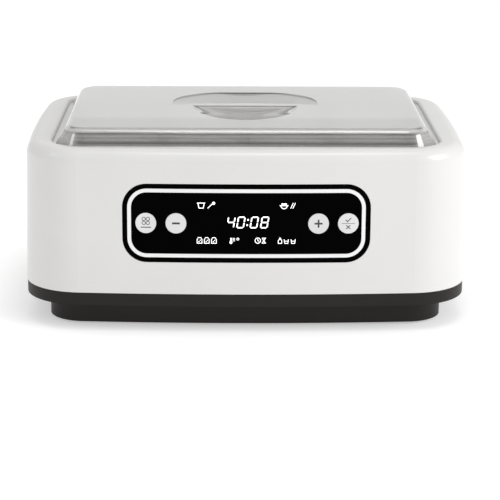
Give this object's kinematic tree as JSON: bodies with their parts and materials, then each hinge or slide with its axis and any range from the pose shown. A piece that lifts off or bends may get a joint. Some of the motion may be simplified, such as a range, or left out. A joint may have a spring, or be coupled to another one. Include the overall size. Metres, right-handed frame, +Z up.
{
  "type": "yogurt maker",
  "caption": "Countertop yogurt maker: white drafted body on a black base, front panel with round push buttons and lit display, clear lift-off lid with a finger grip over a well of capped jars",
  "frame": {"origin": "on the resting surface under the middle of the body", "axes": "+X to the user's right along the front, +Y from the control panel to the back, +Z up"},
  "size_m": [0.32, 0.23, 0.1404],
  "materials": {
    "housing_white": "satin moulded",
    "base_black": "fine texture",
    "foot_rubber": "matte",
    "steel_screw": "plated",
    "well_aluminium": "satin",
    "heater_film": "polyimide film",
    "felt": "needled felt",
    "component_white": "moulded",
    "component_black": "moulded",
    "component_blue": "moulded",
    "panel_black": "polished",
    "ring_silver": "satin chrome",
    "window_black": "polished",
    "lamp_white": "moulded",
    "board_green": "solder mask",
    "transformer_core": "varnished",
    "pin_brass": "turned",
    "lead_grey": "insulation",
    "lid_smoke": "clear smoke-grey",
    "button_grey": "satin",
    "display_lit": "lit digits and symbols",
    "legend_dark": "printed symbols",
    "jar_glass": "clear",
    "cap_white": "moulded"
  },
  "bodies": {
    "root": {"housing": "housing_white", "base_pan": "base_black", "rubber_feet": "foot_rubber", "base_screws": "steel_screw", "well": "well_aluminium", "well_screws": "steel_screw", "heater_foil": "heater_film", "heater_plate": "well_aluminium", "heater_nuts": "steel_screw", "insulation_mat": "felt", "temperature_sensor": "steel_screw", "sensor_clip": "steel_screw", "thermal_cutout": "component_white", "panel_frame": "panel_black", "trim_ring": "ring_silver", "display_window": "window_black", "tact_switches": "component_black", "display_module": "component_black", "indicator_lamps": "lamp_white", "control_board": "board_green", "board_screws": "steel_screw", "power_board": "board_green", "transformer": "transformer_core", "capacitor": "component_black", "relay": "component_blue", "terminal_blocks": "component_white", "power_board_screws": "steel_screw", "mains_inlet": "component_black", "inlet_pins": "pin_brass", "inlet_screws": "steel_screw", "mains_leads": "lead_grey", "heater_leads": "lead_grey", "sensor_lead": "lead_grey", "control_cable": "lead_grey", "jar_1": "jar_glass", "jar_cap_1": "cap_white", "jar_2": "jar_glass", "jar_cap_2": "cap_white", "jar_3": "jar_glass", "jar_cap_3": "cap_white", "jar_4": "jar_glass", "jar_cap_4": "cap_white", "jar_5": "jar_glass", "jar_cap_5": "cap_white", "jar_6": "jar_glass", "jar_cap_6": "cap_white", "jar_7": "jar_glass", "jar_cap_7": "cap_white", "jar_8": "jar_glass", "jar_cap_8": "cap_white"},
    "lid": {"lid": "lid_smoke"},
    "function_button": {"button_function": "button_grey", "switch_plunger_function": "component_black"},
    "minus_button": {"button_minus": "button_grey", "switch_plunger_minus": "component_black"},
    "plus_button": {"button_plus": "button_grey", "switch_plunger_plus": "component_black"},
    "confirm_button": {"button_confirm": "button_grey", "switch_plunger_confirm": "component_black"}
  },
  "joints": [
    {"name": "lid_lift", "type": "slide", "parent": "root", "child": "lid", "axis": [0, 0, 1], "range_m": [0, 0.15]},
    {"name": "function_press", "type": "slide", "parent": "root", "child": "function_button", "axis": [0, 1, 0], "range_m": [0, 0.0008], "stiffness_N_per_m": 600, "springref_m": -0.0008},
    {"name": "minus_press", "type": "slide", "parent": "root", "child": "minus_button", "axis": [0, 1, 0], "range_m": [0, 0.0008], "stiffness_N_per_m": 600, "springref_m": -0.0008},
    {"name": "plus_press", "type": "slide", "parent": "root", "child": "plus_button", "axis": [0, 1, 0], "range_m": [0, 0.0008], "stiffness_N_per_m": 600, "springref_m": -0.0008},
    {"name": "confirm_press", "type": "slide", "parent": "root", "child": "confirm_button", "axis": [0, 1, 0], "range_m": [0, 0.0008], "stiffness_N_per_m": 600, "springref_m": -0.0008}
  ]
}
